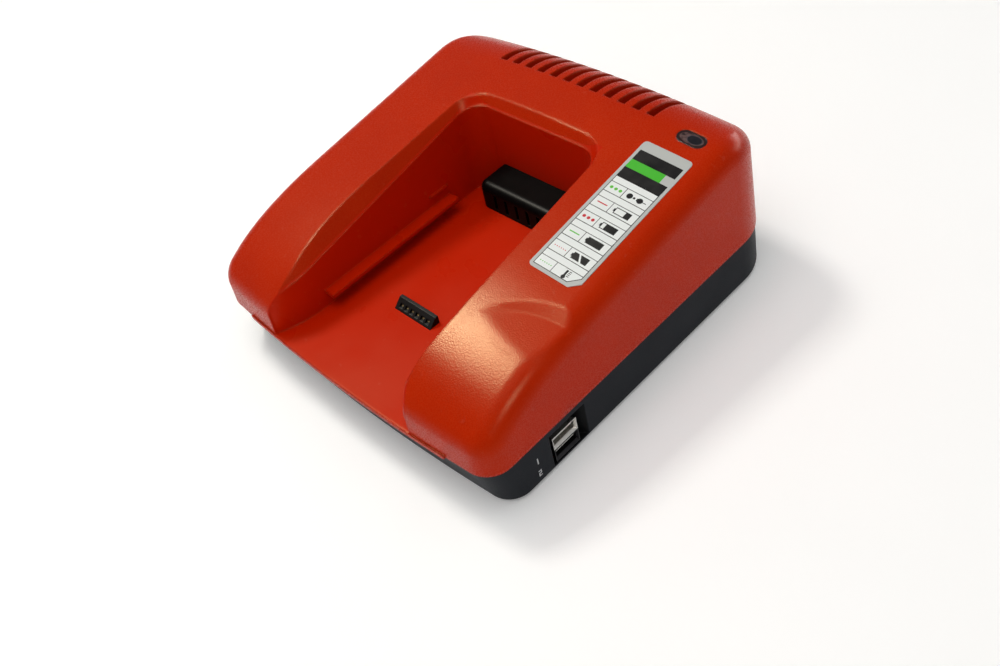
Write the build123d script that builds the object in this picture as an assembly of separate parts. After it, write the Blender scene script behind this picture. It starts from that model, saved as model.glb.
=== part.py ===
from build123d import *

import os
from math import cos, degrees, radians, sin, sqrt, tan

os.makedirs("parts", exist_ok=True)

# Desktop battery charger, in millimetres. +Z is up and the table is z = 0. The bay opens towards -Y,
# the vents are at +Y, the USB side is +X, and x = 0 is the middle of the bay.

# Whole housing
width = 182.4
depth = 198.0
rear_height = 87.8
parting_height = 25.0
top_slope = 8.0
crown_radius = 800.0
side_draft = 1.2
front_bow = 4.0
rear_bow = 6.0
front_corner_radius = 12.0
rear_corner_radius = 28.0
top_edge_radius = 10.0
rear_edge_radius = 35.0
wall = 2.6

# Curve that takes the arms down to the front
curve_length = 71.0
slope_run = 45.0
nose_rise = 5.0
nose_run = 19.0
nose_overhang = 1.3

# Battery bay
bay_half_width = 40.5
bay_rear_margin = 60.5
bay_corner_radius = 11.0
floor_rise = 1.2
floor_thickness = 2.6
slab_clearance = 0.4
flare_start_margin = 26.0
flare_end_margin = 3.0
flare = 6.0
ridge_ledge = 0.4
ridge_slope = 11.7
ridge_drop = 6.1
ridge_margin = 76.0
band_side_angle = 31.0
band_rear_angle = 45.0
band_rise = 24.0
lip_half_width = 67.0
lip_drop = 1.0
lip_reach = 0.7
lip_gap = 0.3

# Guide rails on the bay walls
rail_reach = 6.5
rail_rise = 9.0
rail_thickness = 1.9
rail_front_margin = 29.5
rail_rear_gap = 26.5
stop_rib_reach = 1.2
stop_rib_rise = 15.3
stop_rib_thickness = 1.4
stop_rib_length = 12.0
stop_rib_gap = 27.0

# Vents over the rear edge
vent_count = 12
vent_pitch = 8.2
vent_width = 4.1
vent_centre_x = 2.2
vent_length = 34.0
vent_drop = 22.4
vent_rib_depth = 7.0
vent_margin = 3.0

# Thumb scoop on the right arm's outer shoulder
scoop_tip_margins = (38.4, 45.6)
scoop_rim_margins = (26.6, 58.4)
scoop_rear_margins = (7.4, 65.2)
scoop_side_margins = (7.2, 58.4)
scoop_front_margins = (7.2, 41.0)
scoop_tip_lift = 0.1
scoop_side_drop = 1.6
scoop_step_slope = 9.5
scoop_step_height = 12.0
scoop_step_depth = 3.0
scoop_round = 4.0

# Status window, lights and their board
window_side_margin = 19.8
window_rear_margin = 36.7
window_length = 14.0
window_width = 7.6
window_thickness = 2.2
window_clearance = 0.1
led_radius = 1.5
led_height = 4.5
led_spacing = 5.5
led_board_size = (26.0, 13.0, 1.6)
led_board_drop = 13.5
led_post_radius = 2.6
led_post_offset = 10.0

# Status label
label_side_margin = 10.7
label_rear_margin = 47.4
label_width = 25.2
label_length = 77.3
label_thickness = 0.25
label_corner = 2.0
label_chamfer = 4.0

# Terminal block and its blades
terminal_half_width = 29.0
terminal_depth = 17.5
terminal_height = 15.0
terminal_edge_radius = 4.2
terminal_corner_radius = 4.4
terminal_count = 6
terminal_pitch = 7.1
terminal_slot_width = 1.9
terminal_slot_bottom = 2.0
terminal_slot_height = 8.5
terminal_slot_depth = 8.0
blade_thickness = 0.8
blade_recess = 1.5
blade_length = 11.0
blade_tail_width = 2.0
stem_depth = 5.0
stem_gap = 0.15

# Ramp connector and its strips
ramp_width = 24.0
ramp_front_margin = 45.8
ramp_length = 6.0
ramp_height = 4.2
ramp_slot_count = 6
ramp_slot_pitch = 3.5
ramp_slot_width = 2.2
ramp_slot_floor = 0.9
strip_width = 1.2
strip_recess = 2.4
strip_thickness = 0.5

# Lower housing
base_bottom = 1.2
base_inset = 0.6
base_floor = 2.2
front_undercut = 7.0
base_edge_radius = 1.6
floor_vent_count = 9
floor_vent_pitch = 7.0
floor_vent_size = (40.0, 3.0)
floor_vent_margin = 44.0

# Screws that join the housings
screw_side_margin = 15.2
screw_front_margin = 30.0
screw_rear_margin = 24.0
post_radius = 5.6
counterbore_radius = 3.8
counterbore_drop = 9.0
boss_radius = 4.2
screw_head_radius = 3.1
screw_head_height = 2.2
screw_radius = 1.5
screw_length = 18.0
screw_clearance = 0.3
pilot_clearance = 0.05

# Feet and rating plate
foot_radius = 6.5
foot_side_margin = 33.2
foot_front_margin = 24.0
foot_rear_margin = 24.0
foot_recess = 1.0
rating_plate_size = (62.0, 34.0, 0.3)
rating_plate_y = -18.0

# Main board
board_side_margin = 15.2
board_front_margin = 40.0
board_rear_margin = 38.0
board_thickness = 1.6
board_height = 9.0
board_notch = (20.0, 34.0)
standoff_radius = 3.6
standoff_inset = 6.0
board_screw_radius = 1.3
board_screw_head = 2.6
board_screw_depth = 5.0

# USB pocket and sockets
usb_front_margin = 45.4
usb_upper_height = 14.3
usb_pitch = 7.3
pocket_front_gap = 8.9
pocket_rear_gap = 12.6
pocket_bottom = 2.7
pocket_top = 21.4
pocket_depth = 5.6
pocket_slant_front = 1.3
pocket_slant_rear = 4.4
pocket_slant_bottom = 0.5
pocket_slant_top = 0.8
pocket_wall = 1.6
usb_width = 13.1
usb_height = 5.7
usb_sheet = 0.35
usb_flare = 0.6
usb_flare_length = 1.2
usb_length = 17.0
usb_protrusion = 5.2
tongue_width = 11.0
tongue_thickness = 1.9
tongue_recess = 1.6
contact_count = 4
contact_pitch = 2.3
contact_width = 1.1
contact_thickness = 0.25
usb_board_thickness = 1.6
usb_board_margin = 2.5
number_gap = 16.7
number_size = 3.4
number_depth = 0.25

# Mains inlet
inlet_x = -45.0
inlet_z = 13.0
inlet_width = 23.0
inlet_body_height = 17.0
inlet_depth = 13.0
inlet_recess = 10.5
inlet_set_back = 0.3
inlet_flange = 2.0
inlet_flange_thickness = 1.6
lobe_radius = 4.4
lobe_spacing = 4.6
lobe_rise = 3.0
lobe_drop = 2.6
pin_radius = 1.2
pin_length = 8.0
pin_tail = 3.5

# Parts on the main board; a gap is measured from the board's rear edge to the part's middle
transformer_x = 2.0
transformer_gap = 8.0
transformer_core_size = (34.0, 12.0, 27.0)
transformer_winding_size = (24.0, 22.0, 17.0)
bulk_capacitor_x = -30.0
bulk_capacitor_gap = 10.0
bulk_capacitor_size = (9.0, 30.0)
filter_capacitor_gap = 14.0
filter_capacitor_size = (18.0, 9.0, 15.0)
choke_x = -24.0
choke_gap = 47.0
choke_radii = (8.0, 4.0)
choke_height = 9.0
choke_base = 2.0
bridge_x = 24.0
bridge_gap = 50.0
bridge_size = (15.0, 5.0, 11.0)
heat_sink_gap = 45.0
heat_sink_size = (3.0, 32.0, 26.0)
fin_count = 6
fin_size = (8.0, 1.4)
transistor_size = (4.6, 10.0, 15.0)
transistor_lift = 4.0
leg_pitch = 2.5
leg_size = (0.5, 0.8)
fuse_front_gap = 16.0
fuse_radius = 2.6
fuse_length = 20.0
clip_size = (3.0, 7.0, 6.0)
output_capacitor_gaps = (24.0, 36.0, 48.0)
output_capacitor_size = (5.0, 20.0)

# Wires inside
wire_radius = 0.9
ribbon_radius = 0.7
ribbon_pitch = 1.6

# Heights and places that follow from the values above
floor_height = parting_height + floor_rise
rail_top = floor_height + rail_rise
stop_rib_top = floor_height + stop_rib_rise
counterbore_top = parting_height - counterbore_drop
board_top = board_height + board_thickness
floor_underside = floor_height - floor_thickness
base_inside = base_bottom + base_floor
nose_height = parting_height + nose_rise
slope_start = curve_length - depth / 2
bay_rear = depth / 2 - bay_rear_margin
flare_start = flare_start_margin - depth / 2
flare_end = flare_end_margin - depth / 2
ridge_y = depth / 2 - ridge_margin
vent_front = depth / 2 - vent_length
vent_bottom = rear_height - vent_drop
window_x = width / 2 - window_side_margin
window_y = depth / 2 - window_rear_margin
terminal_front = bay_rear - terminal_depth
ramp_front = ramp_front_margin - depth / 2
usb_y = usb_front_margin - depth / 2
pocket_front = usb_y - pocket_front_gap
pocket_rear = usb_y + pocket_rear_gap
board_right = width / 2 - board_side_margin
board_front = board_front_margin - depth / 2
board_rear = depth / 2 - board_rear_margin
arm_middle = (bay_half_width + wall + board_right) / 2


def save(node, shape):
    """Write one node; loose pieces of a node go in as separate solids."""
    solids = list(shape.solids())
    export_step(solids[0] if len(solids) == 1 else Compound(children=solids), f"parts/{node}.step")


def block(x_range, y_range, z_range):
    """Box between two values on each axis."""
    size = [high - low for low, high in (x_range, y_range, z_range)]
    middle = [(high + low) / 2 for low, high in (x_range, y_range, z_range)]
    return Pos(*middle) * Box(*size)


def cylinder(x, y, low, high, radius):
    """Upright cylinder."""
    return Pos(x, y, (low + high) / 2) * Cylinder(radius, high - low)


def total(shapes):
    """Union of a list of shapes."""
    result = shapes[0]
    for shape in shapes[1:]:
        result = result + shape
    return result


def slope_height(y, inset=0.0):
    """Height of the sloping top along the middle."""
    return rear_height - inset - (depth / 2 - y) * tan(radians(top_slope))


def skin_height(x, y, inset=0.0):
    """Height of the crowned top, away from its rounded rims."""
    reach = crown_radius - rear_height + slope_height(y, inset)
    return rear_height - crown_radius + sqrt(reach**2 - x**2)


led_board_height = skin_height(window_x, window_y) - led_board_drop


def plan_outline(inset, front_shift=0.0):
    """Outline of the housing seen from above."""
    x = width / 2 - inset
    front = -depth / 2 + lip_reach + inset + front_shift
    rear = depth / 2 - inset
    sides = [
        ThreePointArc((-x, front + front_bow), (0, front), (x, front + front_bow)),
        Line((x, front + front_bow), (x, rear - rear_bow)),
        ThreePointArc((x, rear - rear_bow), (0, rear), (-x, rear - rear_bow)),
        Line((-x, rear - rear_bow), (-x, front + front_bow)),
    ]
    face = make_face(Curve() + sides)
    corners = [v for v in face.vertices() if v.Y < 0]
    face = fillet(corners, front_corner_radius - inset)
    corners = [v for v in face.vertices() if v.Y > rear - rear_bow - 0.01]
    return fillet(corners, rear_corner_radius - inset)


def side_profile(inset):
    """Section of the top along the middle: sloping top, rounded rear, curved front."""
    slope = radians(top_slope)
    nose_y = -depth / 2 - nose_overhang + inset
    start = (slope_start, slope_height(slope_start, inset))
    rear = depth / 2 + nose_overhang - inset
    radius = rear_edge_radius - inset
    arc_y = rear - radius
    arc_z = slope_height(arc_y, inset) - radius / cos(slope)
    arc_start = (arc_y - radius * sin(slope), arc_z + radius * cos(slope))
    run = [
        Bezier(
            start,
            (start[0] - slope_run, start[1] - slope_run * tan(slope)),
            (nose_y, nose_height + nose_run),
            (nose_y, nose_height),
        ),
        Line((nose_y, nose_height), (nose_y, 0)),
        Line((nose_y, 0), (rear, 0)),
        Line((rear, 0), (rear, arc_z)),
        TangentArc(arc_start, (rear, arc_z), tangent=(cos(slope), sin(slope))),
        Line(arc_start, start),
    ]
    return Plane.YZ * make_face(Curve() + run)


def housing_volume(inset):
    """Solid inside the upper housing's skin, moved inwards by inset."""
    axis = Axis((0, 0, rear_height - crown_radius), (0, 1, 0))
    half_turn = degrees(width / crown_radius) * 0.8
    profile = side_profile(inset).rotate(axis, -half_turn)
    dome = revolve(profile, axis=axis, revolution_arc=2 * half_turn)
    outline = Plane.XY.offset(parting_height) * plan_outline(inset)
    prism = extrude(outline, amount=rear_height, taper=side_draft)
    body = dome & prism
    rim = []
    for edge in body.edges():
        box = edge.bounding_box()
        across = box.size.Y < 0.5 and abs(edge.center().X) < 1 and edge.center().Y < depth / 2 - 5
        if box.min.Z > parting_height + 5 and not across:
            rim.append(edge)
    return fillet(rim, top_edge_radius - inset)


def bay_outline(half, rear, corner, y_start=0.0, y_scale=1.0):
    """U of the bay, open and flared at the front; y is measured from y_start and stretched."""
    far = (-depth - y_start) * y_scale
    end = (flare_end - y_start) * y_scale
    start = (flare_start - y_start) * y_scale
    back = (rear - y_start) * y_scale
    sides = [
        Line((-half - flare, far), (half + flare, far)),
        Line((half + flare, far), (half + flare, end)),
        TangentArc((half, start), (half + flare, end), tangent=(0, -1)),
        Line((half, start), (half, back)),
        Line((half, back), (-half, back)),
        Line((-half, back), (-half, start)),
        TangentArc((-half, start), (-half - flare, end), tangent=(0, -1)),
        Line((-half - flare, end), (-half - flare, far)),
    ]
    face = make_face(Curve() + sides)
    corners = [v for v in face.vertices() if abs(v.Y - back) < 0.01]
    return fillet(corners, corner)


def bay_volume(grow):
    """Space of the bay above its floor, with the slanted band round its upper edge."""
    outline = bay_outline(bay_half_width + grow, bay_rear + grow, bay_corner_radius + grow)
    pocket = extrude(Plane.XY.offset(floor_height - grow) * outline, amount=rear_height)
    slope = radians(ridge_slope)
    height = slope_height(ridge_y) - ridge_drop - grow
    ridge = Plane(origin=(0, ridge_y, height), x_dir=(1, 0, 0), z_dir=(0, -sin(slope), cos(slope)))
    half = bay_half_width + ridge_ledge + grow
    rear = bay_rear + ridge_ledge + grow
    side_gain = band_rise * tan(radians(band_side_angle))
    rear_gain = band_rise * tan(radians(band_rear_angle))
    corner = bay_corner_radius + ridge_ledge + grow
    low = bay_outline(half, rear, corner, ridge_y, 1 / cos(slope))
    high = bay_outline(
        half + side_gain,
        rear + rear_gain,
        corner + side_gain,
        ridge_y,
        1 / cos(slope),
    )
    band = loft([ridge * low, ridge.offset(band_rise) * high], ruled=True)
    return pocket + band


def half_space(origin, normal, grow):
    """Large box above a plane that lies the distance grow below origin."""
    plane = Plane(origin=origin - normal * grow, z_dir=normal)
    return plane * Pos(0, 0, depth / 2) * Box(2 * depth, 2 * depth, depth)


def skin_point(outer, margins, drop=0.0):
    """Point on the skin at a distance from the right side and the front, or below it."""
    x = width / 2 - margins[0]
    y = margins[1] - depth / 2
    inside = outer & Line((x, y, parting_height + 1), (x, y, 2 * rear_height))
    return Vector(x, y, inside.bounding_box().max.Z - drop)


def scoop_shelf(outer, grow):
    """Space above the scoop's shelf, which runs from its tip to the front and to the foot of its step."""
    tip = skin_point(outer, scoop_tip_margins, -scoop_tip_lift)
    along_side = skin_point(outer, scoop_side_margins, scoop_side_drop) - tip
    along_front = skin_point(outer, scoop_front_margins) - tip
    return half_space(tip, along_front.cross(along_side).normalized(), grow)


def scoop_step(outer, grow):
    """Shallow funnel whose wall is the scoop's step, with its rim through three points of the skin."""
    tip = skin_point(outer, scoop_tip_margins)
    middle = skin_point(outer, scoop_rim_margins)
    rear = skin_point(outer, scoop_rear_margins)
    rim = ThreePointArc(tip, middle, rear)
    up = (rear - tip).cross(middle - tip).normalized()
    spread = 1 / tan(radians(scoop_step_slope))
    funnel = Cone(
        rim.radius - scoop_step_depth * spread,
        rim.radius + scoop_step_height * spread,
        scoop_step_depth + scoop_step_height,
        align=(Align.CENTER, Align.CENTER, Align.MIN),
    )
    drop = scoop_step_depth + grow / cos(radians(scoop_step_slope))
    return Plane(origin=rim.arc_center - up * drop, z_dir=up) * funnel


def scoop_volume(outer, grow):
    """Material taken off the right shoulder: an almost level shelf with an arched step behind it."""
    return scoop_shelf(outer, grow) & scoop_step(outer, grow)


def scooped_skin(outer):
    """Outer volume with the scoop cut into the right shoulder and its outline rounded."""
    scoop = scoop_volume(outer, 0)
    body = outer - scoop
    middles = [edge @ 0.5 for edge in new_edges(outer, scoop, combined=body)]
    outline = [e for e in body.edges() if any((e @ 0.5 - middle).length < 0.01 for middle in middles)]
    return fillet(outline, scoop_round)


def vent_positions():
    """Middle x of each vent slot."""
    first = vent_centre_x - vent_pitch * (vent_count - 1) / 2
    return [first + vent_pitch * i for i in range(vent_count)]


def rows(count, pitch):
    """Evenly spaced offsets about zero."""
    return [pitch * (i - (count - 1) / 2) for i in range(count)]


def screw_places():
    """Places of the four screws that join the housings."""
    x = width / 2 - screw_side_margin
    ends = (screw_front_margin - depth / 2, depth / 2 - screw_rear_margin)
    return [(side * x, y) for side in (-1, 1) for y in ends]


def label_prism():
    """Upright prism with the label's outline, one corner cut."""
    right = width / 2 - label_side_margin
    left = right - label_width
    rear = depth / 2 - label_rear_margin
    front = rear - label_length
    cut = label_chamfer
    corners = [(left, front), (right - cut, front), (right, front + cut), (right, rear), (left, rear)]
    face = make_face(Polyline(*corners, close=True))
    rounded = [v for v in face.vertices() if v.X < left + 0.01 or v.Y > rear - 0.01]
    return extrude(Plane.XY.offset(parting_height) * fillet(rounded, label_corner), amount=rear_height)


def upper_housing(outer):
    """Upper housing: skin, bay tub, rails, vents, window hole, bosses and posts."""
    skin = scooped_skin(outer)
    vents = vent_positions()
    vent_left = vents[0] - vent_width / 2 - vent_margin
    vent_right = vents[-1] + vent_width / 2 + vent_margin
    thick = block(
        (vent_left, vent_right),
        (vent_front - vent_margin, depth),
        (rear_height - 2 * vent_rib_depth, rear_height),
    )
    cavity = housing_volume(wall) - bay_volume(wall) - scoop_volume(outer, wall) - thick
    below = extrude(Plane.XY.offset(parting_height - 1) * plan_outline(wall), amount=1)
    cavity = cavity + (below - bay_volume(wall))
    body = skin - bay_volume(0) - cavity

    slab_plan = plan_outline(base_inset + wall + slab_clearance, front_undercut / 3)
    slab_plan = slab_plan & bay_outline(bay_half_width + wall, bay_rear + wall, bay_corner_radius + wall)
    slab_top = (floor_height + parting_height) / 2
    slab = extrude(Plane.XY.offset(floor_underside) * slab_plan, amount=slab_top - floor_underside)
    lip_plan = plan_outline(-lip_reach) - plan_outline(base_inset + wall)
    lip_low = parting_height - lip_drop
    lip = extrude(Plane.XY.offset(lip_low) * lip_plan, amount=floor_height - lip_low)
    body = body + slab + (lip & lip_prism(0))

    for side in (-1, 1):
        inner = side * (bay_half_width - rail_reach)
        outer_x = side * (bay_half_width + wall / 2)
        span = (min(inner, outer_x), max(inner, outer_x))
        reach = (rail_front_margin - depth / 2, bay_rear - rail_rear_gap)
        body = body + block(span, reach, (rail_top - rail_thickness, rail_top))
        inner = side * (bay_half_width - stop_rib_reach)
        span = (min(inner, outer_x), max(inner, outer_x))
        heights = (stop_rib_top - stop_rib_thickness, stop_rib_top)
        rib_rear = bay_rear - stop_rib_gap
        body = body + block(span, (rib_rear - stop_rib_length, rib_rear), heights)

    bosses = [cylinder(x, y, parting_height, rear_height, boss_radius) for x, y in screw_places()]
    posts = []
    for side in (-1, 1):
        x = window_x + side * led_post_offset
        post_low = led_board_height + led_board_size[2]
        posts.append(cylinder(x, window_y, post_low, rear_height, led_post_radius))
    body = body + (total(bosses + posts) & skin)
    pilot_radius = screw_radius + pilot_clearance
    for x, y in screw_places():
        body = body - cylinder(x, y, 0, counterbore_top + screw_length + 1, pilot_radius)
    for side in (-1, 1):
        x = window_x + side * led_post_offset
        body = body - cylinder(x, window_y, 0, led_board_height + board_screw_depth, board_screw_radius)

    hole = window_profile(window_clearance)
    body = body - extrude(Plane.XY.offset(led_board_height + board_screw_depth) * hole, amount=rear_height)
    for x in vents:
        span = (x - vent_width / 2, x + vent_width / 2)
        body = body - block(span, (vent_front, depth), (vent_bottom, 2 * rear_height))
    holes = [
        block((-stem_half(), stem_half()), stem_span(), (0, floor_height)),
        block((-ramp_stem_half(), ramp_stem_half()), ramp_stem_span(), (0, floor_height)),
    ]
    for hole in holes:
        body = body - hole
    return body


def lip_prism(grow):
    """Prism across the front with slanted ends that holds the lip."""
    low = parting_height - lip_drop - grow
    ends = lip_half_width + grow
    section = Polyline(
        (-ends, parting_height),
        (-ends + lip_drop, low),
        (ends - lip_drop, low),
        (ends, parting_height),
        (ends, floor_height),
        (-ends, floor_height),
        close=True,
    )
    return extrude(Plane.XZ * make_face(section), amount=depth)


def window_profile(grow):
    """Oval of the status window."""
    oval = SlotOverall(window_length + 2 * grow, window_width + 2 * grow)
    return Pos(window_x, window_y) * oval


def stem_half():
    """Half the width of the floor hole under the terminal block."""
    return terminal_pitch * (terminal_count - 1) / 2 + terminal_slot_width


def stem_span():
    """Front and rear of the floor hole under the terminal block."""
    middle = terminal_front + blade_recess + blade_length - blade_tail_width * 1.5
    return (middle - blade_tail_width * 1.5, middle + blade_tail_width * 1.5)


def ramp_stem_half():
    """Half the width of the floor hole under the ramp connector."""
    return ramp_slot_pitch * (ramp_slot_count - 1) / 2 + ramp_slot_width / 2


def ramp_stem_span():
    """Front and rear of the floor hole under the ramp connector."""
    rear = ramp_front + ramp_length
    return (rear - 3.2, rear - 0.8)


def terminal_blades():
    """Upright blades with tails that reach the main board."""
    front = terminal_front + blade_recess
    bottom = floor_height + terminal_slot_bottom + 0.5
    top = bottom + terminal_slot_height - 1.0
    tail_middle = sum(stem_span()) / 2
    blades = []
    for x in rows(terminal_count, terminal_pitch):
        span = (x - blade_thickness / 2, x + blade_thickness / 2)
        plate = block(span, (front, front + blade_length), (bottom, top))
        tail_y = (tail_middle - blade_tail_width / 2, tail_middle + blade_tail_width / 2)
        blades.append(plate + block(span, tail_y, (board_top, bottom + 1)))
    return blades


def terminal_block(blades):
    """Black block at the back of the bay, slotted for the battery's blades."""
    body = block(
        (-terminal_half_width, terminal_half_width),
        (terminal_front, bay_rear),
        (floor_height, floor_height + terminal_height),
    )
    uprights = body.edges().filter_by(Axis.Z).sort_by(Axis.Y)[:2]
    body = fillet(uprights, terminal_corner_radius)
    top = body.edges().group_by(Axis.Z)[-1]
    body = fillet(top.sort_by(Axis.Y)[:1], terminal_edge_radius)
    low, high = stem_span()
    stem = block(
        (-stem_half() + stem_gap, stem_half() - stem_gap),
        (low + stem_gap, high - stem_gap),
        (floor_height - stem_depth, floor_height),
    )
    body = body + stem
    bottom = floor_height + terminal_slot_bottom
    for x in rows(terminal_count, terminal_pitch):
        span = (x - terminal_slot_width / 2, x + terminal_slot_width / 2)
        depths = (terminal_front - 1, terminal_front + terminal_slot_depth)
        body = body - block(span, depths, (bottom, bottom + terminal_slot_height))
    return body - total(blades)


def ramp_strips():
    """Contact strips in the ramp connector's slots, with tails that reach the main board."""
    low, high = ramp_stem_span()
    middle = (low + high) / 2
    bottom = floor_height + ramp_slot_floor
    strips = []
    for x in rows(ramp_slot_count, ramp_slot_pitch):
        span = (x - strip_width / 2, x + strip_width / 2)
        flat = block(span, (ramp_front + strip_recess, middle), (bottom, bottom + strip_thickness))
        tail_y = (middle - strip_thickness / 2, middle + strip_thickness / 2)
        strips.append(flat + block(span, tail_y, (board_top, bottom + strip_thickness)))
    return strips


def ramp_connector(strips):
    """Wedge on the bay floor with slots that face the front."""
    half = ramp_width / 2
    rear = ramp_front + ramp_length
    top = floor_height + ramp_height
    side = Polyline(
        (ramp_front, floor_height),
        (ramp_front + ramp_length * 0.75, top),
        (rear, top),
        (rear, floor_height),
        close=True,
    )
    body = Pos(-half, 0, 0) * extrude(Plane.YZ * make_face(side), amount=ramp_width)
    low, high = ramp_stem_span()
    stem = block(
        (-ramp_stem_half() + stem_gap, ramp_stem_half() - stem_gap),
        (low + stem_gap, high - stem_gap),
        (floor_height - stem_depth, floor_height),
    )
    body = body + stem
    for x in rows(ramp_slot_count, ramp_slot_pitch):
        span = (x - ramp_slot_width / 2, x + ramp_slot_width / 2)
        heights = (floor_height + ramp_slot_floor, top - 0.8)
        body = body - block(span, (ramp_front - 1, low), heights)
    return body - total(strips)


def base_volume(inset, bottom):
    """Solid inside the lower housing's skin; the front leans back towards the bottom."""
    share = (parting_height - bottom) / (parting_height - base_bottom)
    low = Plane.XY.offset(bottom) * plan_outline(base_inset + inset, front_undercut * share)
    high = Plane.XY.offset(parting_height) * plan_outline(base_inset + inset)
    return loft([low, high], ruled=True)


def pocket_cut():
    """Slanted recess in the right side that leads to the USB sockets."""
    face_x = width / 2 + 1
    back_x = width / 2 - base_inset - pocket_depth
    share = (face_x - back_x) / pocket_depth
    y_back = (pocket_front + pocket_slant_front, pocket_rear - pocket_slant_rear)
    z_back = (pocket_bottom + pocket_slant_bottom, pocket_top - pocket_slant_top)
    y_face = (y_back[0] - pocket_slant_front * share, y_back[1] + pocket_slant_rear * share)
    z_face = (z_back[0] - pocket_slant_bottom * share, z_back[1] + pocket_slant_top * share)
    faces = []
    for x, y_range, z_range in ((back_x, y_back, z_back), (face_x, y_face, z_face)):
        middle = (x, sum(y_range) / 2, sum(z_range) / 2)
        plane = Plane(origin=middle, x_dir=(0, 1, 0), z_dir=(1, 0, 0))
        faces.append(plane * Rectangle(y_range[1] - y_range[0], z_range[1] - z_range[0]))
    return loft(faces, ruled=True)


def usb_heights():
    """Middle heights of the upper and the lower USB socket."""
    return (usb_upper_height, usb_upper_height - usb_pitch)


def usb_mouth_x():
    """Where the USB sockets end, inside the pocket."""
    return width / 2 - base_inset - pocket_depth + usb_protrusion


def inlet_face():
    """Y of the inlet's outer face, just inside the rear wall where that is bowed most, at the flange."""
    reach = abs(inlet_x) + inlet_width / 2 + inlet_flange
    return depth / 2 - base_inset - rear_bow * (reach / (width / 2)) ** 2 - inlet_set_back


def inlet_lobes():
    """Three-lobed outline of the inlet's recess, in the XZ plane of the rear wall."""
    left = Pos(-lobe_spacing, -lobe_drop) * Circle(lobe_radius)
    right = Pos(lobe_spacing, -lobe_drop) * Circle(lobe_radius)
    top = Pos(0, lobe_rise) * Circle(lobe_radius)
    middle = Rectangle(2 * lobe_spacing, lobe_drop + lobe_rise)
    return left + right + top + middle


def lower_housing():
    """Lower housing: tray with posts, standoffs, USB pocket, inlet cut-out, floor vents and recesses."""
    body = base_volume(0, base_bottom)
    bottom_edges = [e for e in body.edges() if e.bounding_box().max.Z < base_bottom + 0.01]
    body = fillet(bottom_edges, base_edge_radius)
    body = body - base_volume(wall, base_inside)

    inner_x = width / 2 - base_inset - pocket_depth - pocket_wall
    backing = block(
        (inner_x, width / 2 - base_inset - wall / 2),
        (pocket_front - pocket_wall, pocket_rear + pocket_wall),
        (base_bottom + base_floor / 2, pocket_top + pocket_wall),
    )
    front_part = block((-width, width), (-depth, -depth / 3), (0, rear_height))
    body = body + backing - pocket_cut() - (lip_prism(lip_gap) & front_part)
    half_y = usb_width / 2
    half_z = usb_height / 2
    for z in usb_heights():
        span = (inner_x - 1, width / 2)
        body = body - block(span, (usb_y - half_y, usb_y + half_y), (z - half_z, z + half_z))

    inner_y = inlet_face() - wall
    half_x = inlet_width / 2
    half_z = inlet_body_height / 2
    pad_half = half_x + inlet_flange
    pad_span = (inlet_x - pad_half, inlet_x + pad_half)
    pad = block(pad_span, (inner_y, depth), (base_bottom + 1, parting_height))
    hole_span = (inlet_x - half_x, inlet_x + half_x)
    hole = block(hole_span, (inner_y - 1, depth), (inlet_z - half_z, inlet_z + half_z))
    body = body + (pad & base_volume(0, base_bottom)) - hole

    for x, y in screw_places():
        body = body + cylinder(x, y, base_bottom + 1, parting_height, post_radius)
    for x, y in screw_places():
        body = body - cylinder(x, y, 0, counterbore_top, counterbore_radius)
        body = body - cylinder(x, y, 0, parting_height + 1, screw_radius + screw_clearance)
    for x, y in standoff_places():
        body = body + cylinder(x, y, base_bottom + 1, board_height, standoff_radius)
        body = body - cylinder(x, y, board_height - board_screw_depth, board_height + 1, board_screw_radius)

    for x, y in foot_places():
        body = body - cylinder(x, y, 0, base_bottom + foot_recess, foot_radius)
    for x in rows(floor_vent_count, floor_vent_pitch):
        length, slot = floor_vent_size
        middle_y = depth / 2 - floor_vent_margin
        y_range = (middle_y - length / 2, middle_y + length / 2)
        body = body - block((x - slot / 2, x + slot / 2), y_range, (0, base_inside + 1))
    return body - number_marks()


def standoff_places():
    """Places of the main board's screws."""
    x = board_right - standoff_inset
    front, rear = board_front + standoff_inset, board_rear - standoff_inset
    return [(-x, front), (x - board_notch[0], front), (-x, rear), (x, rear)]


def foot_places():
    """Places of the rubber feet."""
    x = width / 2 - foot_side_margin
    ends = (foot_front_margin - depth / 2, depth / 2 - foot_rear_margin)
    return [(side * x, y) for side in (-1, 1) for y in ends]


def number_marks():
    """Printed digits beside the USB pocket, let into the side."""
    marks = []
    face_x = width / 2 - base_inset
    for text, z in zip("12", usb_heights()):
        origin = (face_x - number_depth, usb_y - number_gap, z)
        plane = Plane(origin=origin, x_dir=(0, 1, 0), z_dir=(1, 0, 0))
        marks.append(extrude(plane * digit(text), amount=2 * number_depth))
    side = block((face_x - 1, face_x), (-depth, 0), (0, parting_height))
    return total(marks) & side


def digit(text):
    """Plain numeral 1 or 2 drawn from bars."""
    bar = number_size / 6
    tall = number_size
    wide = number_size / 2
    if text == "1":
        return Rectangle(bar, tall)
    heights = (-tall / 2 + bar / 2, 0, tall / 2 - bar / 2)
    strokes = [Pos(0, height) * Rectangle(wide, bar) for height in heights]
    strokes.append(Pos(wide / 2 - bar / 2, tall / 4) * Rectangle(bar, tall / 2))
    strokes.append(Pos(-wide / 2 + bar / 2, -tall / 4) * Rectangle(bar, tall / 2))
    return total(strokes)


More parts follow.
